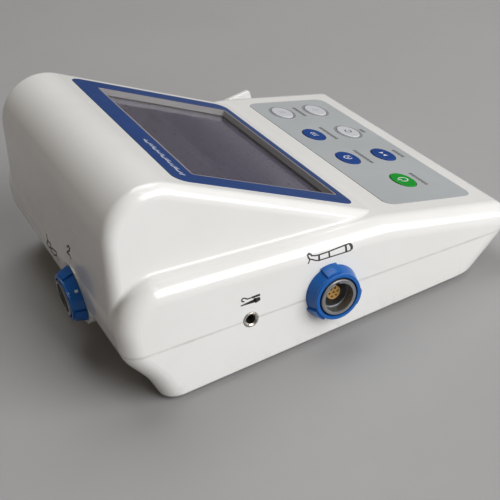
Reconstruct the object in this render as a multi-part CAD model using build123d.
from build123d import *
import math
import os

# Endodontic motor console. Millimetres, +Z up, user at -Y, user's right hand at +X.
# The model is laid out about the console's symmetry plane (x = 0) with the table at z = 0,
# then moved so that the origin is the bottom centre of the whole bounding box.

# ---------------------------------------------------------------- driving dimensions
W = 145.6                 # width over the side walls
WALL = 2.5                # shell thickness
BASE_Z = 1.5              # underside of the lower housing, carried by the feet
R_SIDE = 7.0              # rounding between side walls and deck, ledge, back and front
R_FRONT = 4.5             # rounding of the deck's front edge
R_UNDER = 1.2             # rounding of the edge round the underside
DECK_SLOPE = 15.2         # degrees
DECK_Y, DECK_Z = -54.73, 29.77      # centre of the keypad on the deck
LCD_SLOPE = 28.31         # degrees
LCD_Y, LCD_Z = 8.83, 56.5           # centre of the display bezel on the tower face
TOWER_HALF = 64.8         # half width of the screen tower
R_TOWER_TOP = 18.5        # rounding of the tower's top rear edge
R_TOWER_SIDE = 4.6
BACK_Y = 76.5             # rear face
PART_Z0, PART_SLOPE = 19.1, 0.061   # parting plane z = PART_Z0 + PART_SLOPE * y

BEZEL_W, BEZEL_H, BEZEL_R = 114.7, 73.9, 5.0
WINDOW_W, WINDOW_H, WINDOW_DY = 98.7, 61.4, -3.24
KEYPAD_W, KEYPAD_H, KEYPAD_R = 118.4, 39.0, 4.5

KEY_A, KEY_B = 6.8, 4.3     # half width and half height of the oval keys
KEY_CLEAR = 0.3           # gap round each key
KEY_TOP = 0.5             # key tops above the deck
KEY_TRAVEL = 0.4
KEYS = {                  # name: (x, distance up the deck from the keypad centre)
    "program_button": (44.4, 9.0),
    "memory_button": (44.4, -8.1),
    "speed_button": (15.2, 9.0),
    "mode_button": (15.2, -8.1),
    "torque_button": (-13.0, 9.0),
    "ratio_button": (-13.0, -8.1),
    "start_stop_button": (-39.5, -0.3),
}

SOCKET_Y = -1.9           # handpiece socket on the left wall
JACK_Y = 30.2             # apex probe jack on the left wall
PEDAL_X = -20.5           # pedal socket on the rear face
SHELL_R, SOCKET_BORE_R, INSULATOR_R = 7.0, 5.65, 2.75
NUT_R, NUT_LIP_R, NUT_H = 11.2, 8.7, 5.2
JACK_R, JACK_BUSH_R = 1.8, 2.9

SWITCH_Y, SWITCH_Z = 28.0, 12.0     # power rocker on the right wall
INLET_Y, INLET_Z = 3.0, 12.0       # DC inlet on the right wall
ROCKER_TILT = 10.0

FOOT_X, FOOT_Y, FOOT_R = 53.5, 50.0, 6.0
POST_X, POST_Y = 66.0, 50.0         # housing screws
HOLDER_IR, HOLDER_T, HOLDER_TILT = 10.2, 2.4, 5.7
HOLDER_FRONT_Y, HOLDER_REAR_Y, HOLDER_FRONT_Z = -53.8, -13.8, 21.0

half = W / 2
ts = math.tan(math.radians(LCD_SLOPE))
td = math.tan(math.radians(DECK_SLOPE))


def rad(a):
    return math.radians(a)


def deck_z(y):
    return DECK_Z + (y - DECK_Y) * td


def lcd_z(y):
    return LCD_Z + (y - LCD_Y) * ts


def part_z(y):
    return PART_Z0 + PART_SLOPE * y


# local planes: X to the user's right, Y up the slope, Z out of the face
deck_plane = Plane(origin=(0, DECK_Y, DECK_Z), x_dir=(1, 0, 0),
                   z_dir=(0, -math.sin(rad(DECK_SLOPE)), math.cos(rad(DECK_SLOPE))))
lcd_plane = Plane(origin=(0, LCD_Y, LCD_Z), x_dir=(1, 0, 0),
                  z_dir=(0, -math.sin(rad(LCD_SLOPE)), math.cos(rad(LCD_SLOPE))))
# local X points up, Z points out of the wall
left_plane = Plane(origin=(-half, SOCKET_Y, part_z(SOCKET_Y)), x_dir=(0, 0, 1), z_dir=(-1, 0, 0))
jack_plane = Plane(origin=(-half, JACK_Y, part_z(JACK_Y)), x_dir=(0, 0, 1), z_dir=(-1, 0, 0))
rear_plane = Plane(origin=(PEDAL_X, BACK_Y, part_z(BACK_Y)), x_dir=(0, 0, 1), z_dir=(0, 1, 0))
right_sw = Plane(origin=(half, SWITCH_Y, SWITCH_Z), x_dir=(0, 1, 0), z_dir=(1, 0, 0))
right_in = Plane(origin=(half, INLET_Y, INLET_Z), x_dir=(0, 1, 0), z_dir=(1, 0, 0))


def on(plane, shape):
    return plane.location * shape


def block(w, h, d, x=0, y=0, z=0):
    """Box w x h x d with its base at z, centred on x, y."""
    return Pos(x, y, z + d / 2) * Box(w, h, d)


def cyl(r, z0, z1, x=0, y=0):
    return Pos(x, y, (z0 + z1) / 2) * Cylinder(r, z1 - z0)


def oval(grow, z0, z1, x=0, y=0):
    """A key's oval outline, widened by grow, between z0 and z1."""
    return Pos(x, y, z0) * extrude(Ellipse(KEY_A + grow, KEY_B + grow), amount=z1 - z0)


def cone(r0, r1, z0, z1, x=0, y=0):
    return Pos(x, y, (z0 + z1) / 2) * Cone(r0, r1, z1 - z0)


def plate(w, h, r, z0, z1, x=0, y=0):
    """Rounded rectangular plate between z0 and z1."""
    return Pos(x, y, z0) * extrude(RectangleRounded(w, h, r), amount=z1 - z0)


def profile_yz(points):
    """Closed profile in the y-z plane from (y, z, corner radius), as a face on the plane x = 0."""
    pl = Plane(origin=(0, 0, 0), x_dir=(0, 1, 0), z_dir=(1, 0, 0))
    wire = Wire.make_polygon([Vector(p[0], p[1]) for p in points], close=True)
    face = Face(wire)
    for y, z, r in points:
        if r <= 0:
            continue
        v = min(face.vertices(), key=lambda q: (q.X - y) ** 2 + (q.Y - z) ** 2)
        face = face.fillet_2d(r, [v])
    return pl.location * face


def inset(points, d):
    """Moves every side of a counter-clockwise polygon inward by d, keeping true offsets of the corner radii."""
    n = len(points)
    out = []
    for i in range(n):
        (y0, z0, _), (y1, z1, r), (y2, z2, _) = points[i - 1], points[i], points[(i + 1) % n]
        a, b = (y1 - y0, z1 - z0), (y2 - y1, z2 - z1)
        la, lb = math.hypot(*a), math.hypot(*b)
        na, nb = (-a[1] / la, a[0] / la), (-b[1] / lb, b[0] / lb)
        c = 1 + na[0] * nb[0] + na[1] * nb[1]
        convex = a[0] * b[1] - a[1] * b[0] > 0
        rr = 0 if r <= 0 else max(r - d, 0.6) if convex else r + d
        out.append((y1 + d * (na[0] + nb[0]) / c, z1 + d * (na[1] + nb[1]) / c, rr))
    return out


# ---------------------------------------------------------------- outer form
LEDGE_Y = -27.5
slab_pts = [
    (-65.5, BASE_Z, 0),
    (66.2, BASE_Z, 0),
    (69.2, 10.3, 22.0),
    (BACK_Y, 21.5, 13.0),
    (BACK_Y, deck_z(LEDGE_Y) + (BACK_Y - LEDGE_Y) * 0.1207, 17.0),
    (LEDGE_Y, deck_z(LEDGE_Y), 40.0),
    (-81.2, deck_z(-81.2), 0),
    (-82.0, 13.7, 0),
]
LEAN = 0.12
tz = (LCD_Z + (BACK_Y - 0.2 + LEAN * 31 - LCD_Y) * ts) / (1 + LEAN * ts)
ty = BACK_Y - 0.2 - LEAN * (tz - 31)
tower_pts = [
    (-26.0, 24.0, 0),
    (BACK_Y - 0.2 - LEAN * -1.0, 30.0, 0),
    (ty, tz, R_TOWER_TOP),
    (-46.0, lcd_z(-46.0), 0),
]


def slab(d):
    s = extrude(profile_yz(inset(slab_pts, d)), amount=half - d, both=True)
    side = [e for e in s.edges() if abs(abs(e.center().X) - (half - d)) < 1e-3
            and e.center().Z > BASE_Z + d + 0.3]
    s = fillet(side, max(R_SIDE - d, 1.0))
    front = [e for e in s.edges() if abs(e.center().X) < 1e-3 and e.center().Y < -74
             and e.center().Z > 18 and e.length > 100]
    s = fillet(front, max(R_FRONT - d, 1.0))
    if d == 0:
        under = min(s.faces(), key=lambda f: f.center().Z)
        s = fillet(under.edges(), R_UNDER)
    return s


def tower(d):
    t = extrude(profile_yz(inset(tower_pts, d)), amount=TOWER_HALF - d, both=True)
    side = [e for e in t.edges() if abs(abs(e.center().X) - (TOWER_HALF - d)) < 1e-3
            and e.center().Z > 31 + d]
    return fillet(side, max(R_TOWER_SIDE - d, 1.0))


def form(d, blend=0.0):
    """Outer form of the whole casing, moved inward by d. blend rounds the crease between ledge and tower."""
    body = slab(d) + tower(d)
    if blend:
        crease = [e for e in body.edges()
                  if abs(abs(e.center().X) - TOWER_HALF) < 0.02 and e.length > 50
                  and e.center().Z < 48]
        body = fillet(crease, blend)
    return body + on(rear_plane, cyl(12.3 - d, -12, -d))


def half_space(z_shift, above):
    """Large block above or below the parting plane moved by z_shift."""
    a = math.atan(PART_SLOPE)
    pl = Plane(origin=(0, 0, PART_Z0 + z_shift), x_dir=(1, 0, 0),
               z_dir=(0, -math.sin(a), math.cos(a)))
    return on(pl, block(300, 300, 150, z=0 if above else -150))


def mirror_x(shape_fn, *args):
    return [shape_fn(1, *args), shape_fn(-1, *args)]


def group(shapes):
    """Separate solids kept side by side in one node."""
    solids = []
    for s in shapes:
        solids += list(s.solids())
    return Compound(solids)


def screw(shaft_r, length, head_r, head_h, recess_r):
    """Pan head screw, shaft down -Z from z = 0, head above, with a hexalobular style recess kept as a hexagon."""
    s = cyl(shaft_r, -length, 0) + cyl(head_r, 0, head_h)
    top = [e for e in s.edges() if abs(e.center().Z - head_h) < 1e-4]
    s = fillet(top, head_h * 0.35)
    return s - Pos(0, 0, head_h - head_h * 0.6) * extrude(RegularPolygon(recess_r, 6), amount=head_h)


parts = {}

# ---------------------------------------------------------------- casing shells
outer = form(0, 1.5)
inner = form(WALL)
lip_out = form(1.25)
SEAM = 0.06
shell = outer - inner

upper = shell & half_space(SEAM, True)
upper -= (lip_out & half_space(-1, True)) & half_space(2.2, False)
lower = shell & half_space(-SEAM, False)
lip = ((form(1.4) - inner) & half_space(-SEAM - 0.5, True)) & half_space(1.9, False)
lower += lip

# display opening, bezel recess and the bosses behind the tower face
upper -= on(lcd_plane, plate(BEZEL_W + 0.3, BEZEL_H + 0.3, BEZEL_R + 0.15, -1.1, 6))
upper -= on(lcd_plane, plate(102.0, 64.6, 2.0, -8, 2, y=WINDOW_DY))
LCD_BOSS = [(sx * 57.0, sy * 30.0) for sx in (1, -1) for sy in (1, -1)]
for x, y in LCD_BOSS:
    upper += on(lcd_plane, cyl(2.6, -9.1, -2.3, x, y))
    upper -= on(lcd_plane, cyl(1.2, -9.2, -3.0, x, y))

# keypad recess, key holes and keypad board bosses
upper -= on(deck_plane, plate(KEYPAD_W + 0.3, KEYPAD_H + 0.3, KEYPAD_R + 0.15, -0.5, 6))
for x, y in KEYS.values():
    upper -= on(deck_plane, oval(KEY_CLEAR + 0.1, -6, 2, x, y))
KEY_BOSS = [(sx * 54.5, sy * 15.5) for sx in (1, -1) for sy in (1, -1)]
for x, y in KEY_BOSS:
    upper += on(deck_plane, cyl(2.6, -9.3, -2.3, x, y))
    upper -= on(deck_plane, cyl(1.2, -9.4, -3.2, x, y))

# corner posts that take the housing screws
POSTS = [(sx * POST_X, sy * POST_Y) for sx in (1, -1) for sy in (1, -1)]
for x, y in POSTS:
    top = (inner & Pos(x, y, 30) * Cylinder(4.2, 60)) & half_space(SEAM, True)
    upper += top
    upper -= cyl(1.55, part_z(y) - 2, part_z(y) + 9, x, y)
    bottom = Pos(x, y, (part_z(y) - 0.9 + BASE_Z) / 2) * Cylinder(4.2, part_z(y) - 0.9 - BASE_Z)
    lower += (bottom & inner)
    upper -= cyl(4.4, part_z(y) - 4, part_z(y) + 0.45, x, y)
    lower -= cyl(1.9, 0, 40, x, y)
    lower -= cyl(3.6, 0, BASE_Z + 4.0, x, y)
    lower += cyl(4.6, BASE_Z + 0.5, BASE_Z + 5.2, x, y) - cyl(3.6, 0, BASE_Z + 4.0, x, y) - cyl(1.9, 0, 40, x, y)
HOUSING_SCREW_Z = BASE_Z + 4.0

# feet recesses and main board posts in the floor
for sx in (1, -1):
    for sy in (1, -1):
        lower -= cyl(FOOT_R + 0.1, 0, BASE_Z + 0.8, sx * FOOT_X, sy * FOOT_Y)
BOARD_W, BOARD_D, BOARD_Y, BOARD_Z = 98.0, 84.0, 8.0, 8.0
BOARD_HOLES = [(sx * 44.0, BOARD_Y + sy * 37.0) for sx in (1, -1) for sy in (1, -1)]
for x, y in BOARD_HOLES:
    lower += cyl(3.0, BASE_Z + 1.0, BOARD_Z - 0.05, x, y) - cyl(1.2, BOARD_Z - 5, BOARD_Z + 1, x, y)
# underside ventilation slots, between the board posts
for i in range(-3, 4):
    lower -= plate(2.0, 26.0, 0.95, 0, BASE_Z + WALL + 1, x=i * 6.0, y=-6)

# socket, jack, switch, inlet and holder openings
for pl in (left_plane, rear_plane):
    for_cut = on(pl, cyl(SHELL_R + 0.1, -4, 3))
    relief = on(pl, cyl(9.9, -30, -WALL))
    upper -= for_cut
    lower -= for_cut
    upper -= relief
    lower -= relief
for_cut = on(jack_plane, cyl(JACK_BUSH_R + 0.1, -4, 3)) + on(jack_plane, cyl(5.6, -20, -WALL))
upper -= for_cut
lower -= for_cut
lower -= on(right_sw, block(19.4, 12.4, 7, z=-4))
lower -= on(right_sw, plate(26.0, 16.5, 0.8, -20, -WALL))
lower -= on(right_in, cyl(4.1, -4, 3)) + on(right_in, block(13.6, 13.6, 17.5, z=-20))

h_dir = (0, -math.cos(rad(HOLDER_TILT)), math.sin(rad(HOLDER_TILT)))
HOLDER_X = half + 0.05 + HOLDER_IR + HOLDER_T
HOLDER_LEN = (HOLDER_REAR_Y - HOLDER_FRONT_Y) / math.cos(rad(HOLDER_TILT))
holder_plane = Plane(origin=(HOLDER_X, HOLDER_FRONT_Y, HOLDER_FRONT_Z), x_dir=(1, 0, 0), z_dir=h_dir)
HOLDER_SCREWS = [(-10.5, 2.9), (-30.5, 2.9)]      # (distance back along the cradle, height above its axis)
holder_screw_planes = []
for s, u in HOLDER_SCREWS:
    y = HOLDER_FRONT_Y - s * math.cos(rad(HOLDER_TILT)) + u * math.sin(rad(HOLDER_TILT))
    z = HOLDER_FRONT_Z + s * math.sin(rad(HOLDER_TILT)) + u * math.cos(rad(HOLDER_TILT))
    pl = Plane(origin=(half, y, z), x_dir=(0, 1, 0), z_dir=(1, 0, 0))
    holder_screw_planes.append(pl)
    lower -= on(pl, cyl(3.3, -12, -1.1))
    upper += on(pl, cyl(2.9, -8.5, -2.3))
    upper -= on(pl, cyl(1.25, -8.0, 1))

parts["upper_housing"] = upper
parts["lower_housing"] = lower

# ---------------------------------------------------------------- display
parts["display_bezel"] = on(lcd_plane, plate(BEZEL_W, BEZEL_H, BEZEL_R, -1.05, 0.15)
                            - plate(WINDOW_W, WINDOW_H, 1.6, -3, 3, y=WINDOW_DY))
# liner: its flange sits under the bezel and its upstand fills the bezel's opening
parts["window_liner"] = on(lcd_plane, plate(101.6, 64.2, 1.8, -2.4, -1.1, y=WINDOW_DY)
                           + plate(WINDOW_W - 0.3, WINDOW_H - 0.3, 1.45, -1.2, 0.05, y=WINDOW_DY)
                           - plate(WINDOW_W - 1.7, WINDOW_H - 1.7, 0.8, -5, 3, y=WINDOW_DY))
parts["display_window"] = on(lcd_plane, plate(101.6, 64.2, 1.8, -3.7, -2.45, y=WINDOW_DY))
parts["display_gasket"] = on(lcd_plane, plate(101.6, 64.2, 1.8, -4.02, -3.72, y=WINDOW_DY)
                             - plate(98.9, 61.6, 1.0, -5, 0, y=WINDOW_DY))
parts["display_panel"] = on(lcd_plane, block(103.0, 65.4, 1.9, z=-5.95, y=WINDOW_DY))
parts["display_frame"] = on(lcd_plane, block(106.0, 68.6, 5.95, z=-8.95, y=WINDOW_DY)
                            - block(103.2, 65.6, 5.0, z=-6.0, y=WINDOW_DY))
lcd_board = block(119.0, 73.0, 1.6, z=-10.75)
for x, y in LCD_BOSS:
    lcd_board -= cyl(1.4, -12, 0, x, y)
parts["display_board"] = on(lcd_plane, lcd_board)

# ---------------------------------------------------------------- keypad
overlay = plate(KEYPAD_W, KEYPAD_H, KEYPAD_R, -0.45, 0.15)
for x, y in KEYS.values():
    overlay -= oval(KEY_CLEAR, -3, 3, x, y)
parts["keypad_overlay"] = on(deck_plane, overlay)
switches = []
for name, (x, y) in KEYS.items():
    cap = oval(0, -3.4, KEY_TOP, x, y)
    rim = [e for e in cap.edges() if abs(e.center().Z - KEY_TOP) < 1e-4]
    cap = fillet(rim, 0.4)
    key = cap + oval(1.1, -3.9, -2.9, x, y) + cyl(2.0, -5.4, -3.8, x, y)
    parts[name] = on(deck_plane, key)
    switches.append(on(deck_plane, block(6.0, 6.0, 2.8, x, y, -9.25) + cyl(1.7, -6.5, -5.95, x, y)))
parts["keypad_switches"] = group(switches)
key_board = block(114.0, 36.5, 1.6, z=-10.95)
for x, y in KEY_BOSS:
    key_board -= cyl(1.4, -12, 0, x, y)
parts["keypad_board"] = on(deck_plane, key_board)

# ---------------------------------------------------------------- main board and what is on it
board = block(BOARD_W, BOARD_D, 1.6, 0, BOARD_Y, BOARD_Z)
for x, y in BOARD_HOLES:
    board -= cyl(1.4, 0, 20, x, y)
parts["main_board"] = board
TOP = BOARD_Z + 1.65
parts["microcontroller"] = block(14, 14, 1.5, -6, 4, TOP)
parts["motor_drivers"] = group([block(8, 10, 1.8, -30, -6, TOP), block(8, 10, 1.8, -30, 10, TOP)])
caps = []
for x, y, r, h in ((20, -20, 5, 12.5), (32, -20, 5, 12.5), (20, -6, 4, 9), (-20, 34, 4, 9)):
    c = cyl(r, TOP, TOP + h, x, y)
    caps.append(fillet([e for e in c.edges() if abs(e.center().Z - TOP - h) < 1e-4], 0.6))
parts["capacitors"] = group(caps)
buzzer = cyl(6, TOP, TOP + 8.5, 34, 4) - cyl(1.0, TOP + 5, TOP + 10, 34, 4)
parts["buzzer"] = buzzer
parts["board_connectors"] = group([
    block(24, 6, 4.5, 6, 28, TOP),            # display ribbon
    block(18, 6, 4.5, -6, -27, TOP),          # keypad ribbon
    block(6, 12, 6, -44, SOCKET_Y, TOP),      # handpiece wiring
    block(12, 6, 6, PEDAL_X, 44.5, TOP),      # pedal wiring
    block(6, 8, 6, 44, INLET_Y, TOP),         # supply wiring
    block(6, 8, 6, -44, JACK_Y, TOP),         # probe wiring
])
conn_top = TOP + 4.5
disp_z = lcd_z(28) - 10.85 / math.cos(rad(LCD_SLOPE)) - 0.4
parts["display_ribbon"] = block(20, 0.5, disp_z - conn_top - 0.1, 6, 28, conn_top + 0.1)
kb_y = -40.0
kb_z = deck_z(kb_y) - 11.0 / math.cos(rad(DECK_SLOPE)) - 0.3
kz = conn_top + 0.35
rib = Polyline((kb_y, kb_z), (kb_y, kz), (-27.0, kz))
rib_face = Face(Wire.make_polygon([Vector(*p) for p in (
    (kb_y - 0.25, kb_z), (kb_y - 0.25, kz - 0.25), (-24.5, kz - 0.25), (-24.5, kz + 0.25),
    (kb_y + 0.25, kz + 0.25), (kb_y + 0.25, kb_z))], close=True))
yz = Plane(origin=(-6, 0, 0), x_dir=(0, 1, 0), z_dir=(1, 0, 0))
parts["keypad_ribbon"] = extrude(yz.location * rib_face, amount=8, both=True)

# ---------------------------------------------------------------- round sockets
LUG_AT, LUG_WIDE = (0.0, 122.0, 244.0), 33.0


def ring_nut(clock):
    """Conical ring nut. Local +Z out of the wall. Three raised lugs, clock turns them."""
    core = cone(NUT_R - 0.75, NUT_LIP_R + 0.35, 0.1, 4.2) + cyl(NUT_LIP_R + 0.35, 4.15, NUT_H)
    lugs = cone(NUT_R, NUT_LIP_R + 1.2, 0.1, 4.4)
    keep = None
    for a in LUG_AT:
        w = extrude(Polygon((0, 0), (30 * math.cos(rad(a - LUG_WIDE / 2)), 30 * math.sin(rad(a - LUG_WIDE / 2))),
                            (30 * math.cos(rad(a + LUG_WIDE / 2)), 30 * math.sin(rad(a + LUG_WIDE / 2))),
                            align=None), amount=8)
        keep = w if keep is None else keep + w
    nut = core + (lugs & keep)
    top = [e for e in nut.edges() if abs(e.center().Z - NUT_H) < 1e-3]
    nut = fillet(top, 0.35)
    nut -= cyl(SHELL_R + 0.06, -1, 9)
    nut -= cyl(SHELL_R + 0.75, 2.8, 9)
    return Rot(0, 0, clock) * nut


def socket_parts(pl, prefix, clock):
    shell = cyl(SHELL_R, -12, NUT_H + 0.35) + cyl(9.4, -5.4, -WALL - 0.05)
    front = [e for e in shell.edges() if abs(e.center().Z - NUT_H - 0.35) < 1e-3]
    shell = chamfer(front, 0.25)
    shell -= cyl(SOCKET_BORE_R, NUT_H + 0.35 - 4.0, 9)
    shell -= cyl(SOCKET_BORE_R - 0.35, -6, 9)
    shell -= cyl(INSULATOR_R + 0.03, -13, 0)
    shell -= Pos(SOCKET_BORE_R - 0.2, 0, 2.85) * Box(1.6, 1.7, 6)     # polarising keyway, up
    parts[prefix + "_shell"] = on(pl, shell)
    parts[prefix + "_nut"] = on(pl, ring_nut(clock))
    pins = [(0, 0)] + [(1.7 * math.cos(rad(60 * i + 30)), 1.7 * math.sin(rad(60 * i + 30))) for i in range(6)]
    ins = cyl(INSULATOR_R, -12.0, 1.35)
    for x, y in pins:
        ins -= cyl(0.45, -13, 2, x, y)
    parts[prefix + "_insulator"] = on(pl, ins)
    parts[prefix + "_contacts"] = group([on(pl, cyl(0.43, -15, 0.5, x, y) - cyl(0.27, -4, 1, x, y)) for x, y in pins])


socket_parts(left_plane, "handpiece_socket", 0)
socket_parts(rear_plane, "pedal_socket", 0)

# apex probe jack: threaded nickel bush through the wall, moulded body and two springs behind it
bush = cyl(JACK_BUSH_R, -WALL - 3.0, 0.35) + cyl(4.4, -WALL - 1.2, -WALL - 0.05)
rim = [e for e in bush.edges() if abs(e.center().Z - 0.35) < 1e-3]
bush = fillet(rim, 0.3)
bush -= cyl(JACK_R, -9, 2) + cone(JACK_R, JACK_R + 0.5, -0.15, 0.36)
parts["probe_jack_bush"] = on(jack_plane, bush)
jbody = block(9.0, 9.0, 12.0, z=-WALL - 15.1) - cyl(JACK_R + 0.6, -30, 0)
parts["probe_jack_body"] = on(jack_plane, jbody)
parts["probe_jack_contacts"] = on(jack_plane, group([
    block(1.6, 0.5, 11, 0, 4.8, -WALL - 18), block(1.6, 0.5, 11, 0, -4.8, -WALL - 18)]))

# ---------------------------------------------------------------- supply inlet and power switch, right wall
inlet = cyl(4.0, -3.2, 0.6) + block(9.0, 9.5, 11.4, z=-14.0)
inlet -= cyl(2.85, -10.5, 2)
inlet -= cyl(0.97, -20, 0)
parts["dc_inlet_body"] = on(right_in, inlet)
pin = cyl(0.95, -16, -1.2)
parts["dc_inlet_pin"] = on(right_in, fillet([e for e in pin.edges() if abs(e.center().Z + 1.2) < 1e-3], 0.4))

SW_OPEN, SW_TALL = 18.0, 10.6
frame = plate(22.5, 15.0, 1.2, 0.05, 1.9) + block(19.0, 12.0, 13.0, z=-12.9)
frame = frame - block(SW_OPEN, SW_TALL, 10.5, z=-8.0)
frame = frame + group([block(1.2, 6.0, 5.0, x, 0, -17.8) for x in (-6, 0, 6)])
ROCK_Z = -1.6
frame -= Pos(0, 0, ROCK_Z) * Rot(90, 0, 0) * Cylinder(0.77, 11.9)
parts["power_switch_frame"] = on(right_sw, frame)
rock_face = Polygon((-7.7, 2.9), (-7.0, -3.4), (0, -5.6), (7.0, -3.4), (7.7, 2.9), (0.0, 1.7), align=None)
rock = Pos(0, 5.0, 0) * Rot(90, 0, 0) * extrude(rock_face, amount=10.0)
rock = Pos(0, 0, 0) * rock
rock -= Pos(0, 0, ROCK_Z) * Rot(90, 0, 0) * Cylinder(0.8, 30)
parts["power_rocker"] = on(right_sw, Pos(0, 0, ROCK_Z) * Rot(0, ROCKER_TILT, 0) * Pos(0, 0, -ROCK_Z) * rock)
parts["power_rocker_pin"] = on(right_sw, Pos(0, 0, ROCK_Z) * Rot(90, 0, 0) * Cylinder(0.75, 11.8))

# ---------------------------------------------------------------- wiring inside
def cable(points, radius, bend):
    """Round cable along straight runs joined by one tangent arc."""
    path = FilletPolyline(*points, radius=bend) if bend else Line(*points)
    start = Plane(origin=path @ 0, z_dir=path % 0)
    return sweep(start * Circle(radius), path=path)


conn = TOP + 6.1
sz, jz, rz = part_z(SOCKET_Y), part_z(JACK_Y), part_z(BACK_Y)
parts["handpiece_cable"] = cable([(-57.6, SOCKET_Y, sz), (-44, SOCKET_Y, sz), (-44, SOCKET_Y, conn)], 1.5, 2.6)
parts["probe_cable"] = cable([(-52.2, JACK_Y, jz), (-44, JACK_Y, jz), (-44, JACK_Y, conn)], 1.2, 3.0)
parts["pedal_cable"] = cable([(PEDAL_X, 61.3, rz), (PEDAL_X, 44.5, rz), (PEDAL_X, 44.5, conn)], 1.5, 5.0)
parts["supply_cable"] = cable([(56.7, INLET_Y, INLET_Z), (47.1, INLET_Y, INLET_Z)], 1.4, 0)

# ---------------------------------------------------------------- feet and fasteners
feet = []
for sx in (1, -1):
    for sy in (1, -1):
        f = cyl(FOOT_R, 0, BASE_Z + 0.75, sx * FOOT_X, sy * FOOT_Y)
        feet.append(chamfer([e for e in f.edges() if abs(e.center().Z) < 1e-4], 0.35))
parts["rubber_feet"] = group(feet)

hs = []
for x, y in POSTS:
    hs.append(Pos(x, y, HOUSING_SCREW_Z) * Rot(180, 0, 0) * screw(1.5, part_z(y) + 7.5 - HOUSING_SCREW_Z, 2.9, 2.0, 1.3))
parts["housing_screws"] = group(hs)
bs = []
for x, y in BOARD_HOLES:
    bs.append(Pos(x, y, BOARD_Z + 1.65) * screw(1.15, 5.5, 2.2, 1.5, 1.0))
for x, y in LCD_BOSS:
    bs.append(on(lcd_plane, Pos(x, y, -10.8) * Rot(180, 0, 0) * screw(1.15, 6.0, 2.2, 1.5, 1.0)))
for x, y in KEY_BOSS:
    bs.append(on(deck_plane, Pos(x, y, -11.0) * Rot(180, 0, 0) * screw(1.15, 6.0, 2.2, 1.5, 1.0)))
parts["board_screws"] = group(bs)

# ---------------------------------------------------------------- handpiece holder, right wall
OR = HOLDER_IR + HOLDER_T
cradle = (Circle(OR) & Pos(0, -20) * Rectangle(60, 40)) + Pos(-OR + HOLDER_T / 2, -1.9) * Rectangle(HOLDER_T, 14.2)
cradle += Pos(OR - HOLDER_T / 2, 1.425) * Rectangle(HOLDER_T, 2.85)
cradle -= Circle(HOLDER_IR)
holder = extrude(cradle.faces()[0], amount=HOLDER_LEN)
holder = Pos(0, 0, -holder.bounding_box().max.Z) * holder
tips = [e for e in holder.edges() if abs(e.length - HOLDER_T) < 0.02 and e.center().Y > 2]
holder = fillet(tips, 1.4)
holder = fillet([e for e in holder.edges() if abs(e.center().X + OR) > 0.3], 0.4)
holder = on(holder_plane, holder)
for pl in holder_screw_planes:
    holder -= on(pl, cyl(1.6, -1, 5))
parts["handpiece_holder"] = holder
parts["holder_screws"] = group([on(Plane(pl.origin, pl.x_dir, pl.z_dir), Pos(0, 0, HOLDER_T + 0.1) * screw(1.2, HOLDER_T + 7.0, 2.2, 1.4, 1.2))
                                for pl in holder_screw_planes])

# ---------------------------------------------------------------- origin and export
lo = [1e9] * 3
hi = [-1e9] * 3
for p in parts.values():
    b = p.bounding_box(optimal=True)
    for i, (a, c) in enumerate(zip(tuple(b.min), tuple(b.max))):
        lo[i], hi[i] = min(lo[i], a), max(hi[i], c)
print("console frame box", [round(v, 3) for v in lo], [round(v, 3) for v in hi])
shift = Location((-(lo[0] + hi[0]) / 2, -(lo[1] + hi[1]) / 2, -lo[2]))
print("shift", shift)
os.makedirs("parts", exist_ok=True)
for name, p in parts.items():
    moved = shift * p
    moved.label = name
    export_step(moved, "parts/" + name + ".step")
    n = len(p.solids())
    print(name, "solids", n, "volume", round(p.volume, 1), "valid", all(q.is_valid for q in p.solids()))
